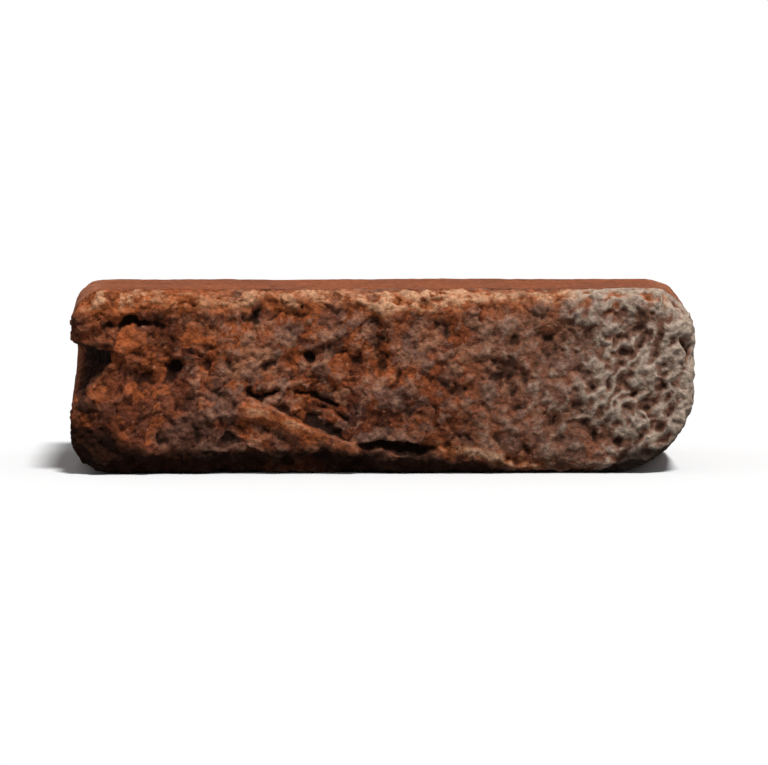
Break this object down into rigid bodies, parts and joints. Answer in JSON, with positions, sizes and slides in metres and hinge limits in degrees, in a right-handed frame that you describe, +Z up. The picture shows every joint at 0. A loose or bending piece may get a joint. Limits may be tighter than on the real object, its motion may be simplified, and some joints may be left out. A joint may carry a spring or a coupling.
{
  "type": "clay brick",
  "caption": "Solid fired-clay brick with a rough weathered stretcher face, spalled arrises and a notch broken out of an end, laid in mortar to build walls.",
  "frame": {"origin": "middle of the lower bed, in the plane that the brick lies on", "axes": "+X along the length, to the right as the weathered face is seen; +Z up from the lower bed; the weathered stretcher face looks along -Y"},
  "size_m": [0.22, 0.105, 0.065],
  "materials": {
    "fired_clay": "matte"
  },
  "bodies": {
    "root": {"brick": "fired_clay"}
  },
  "joints": []
}
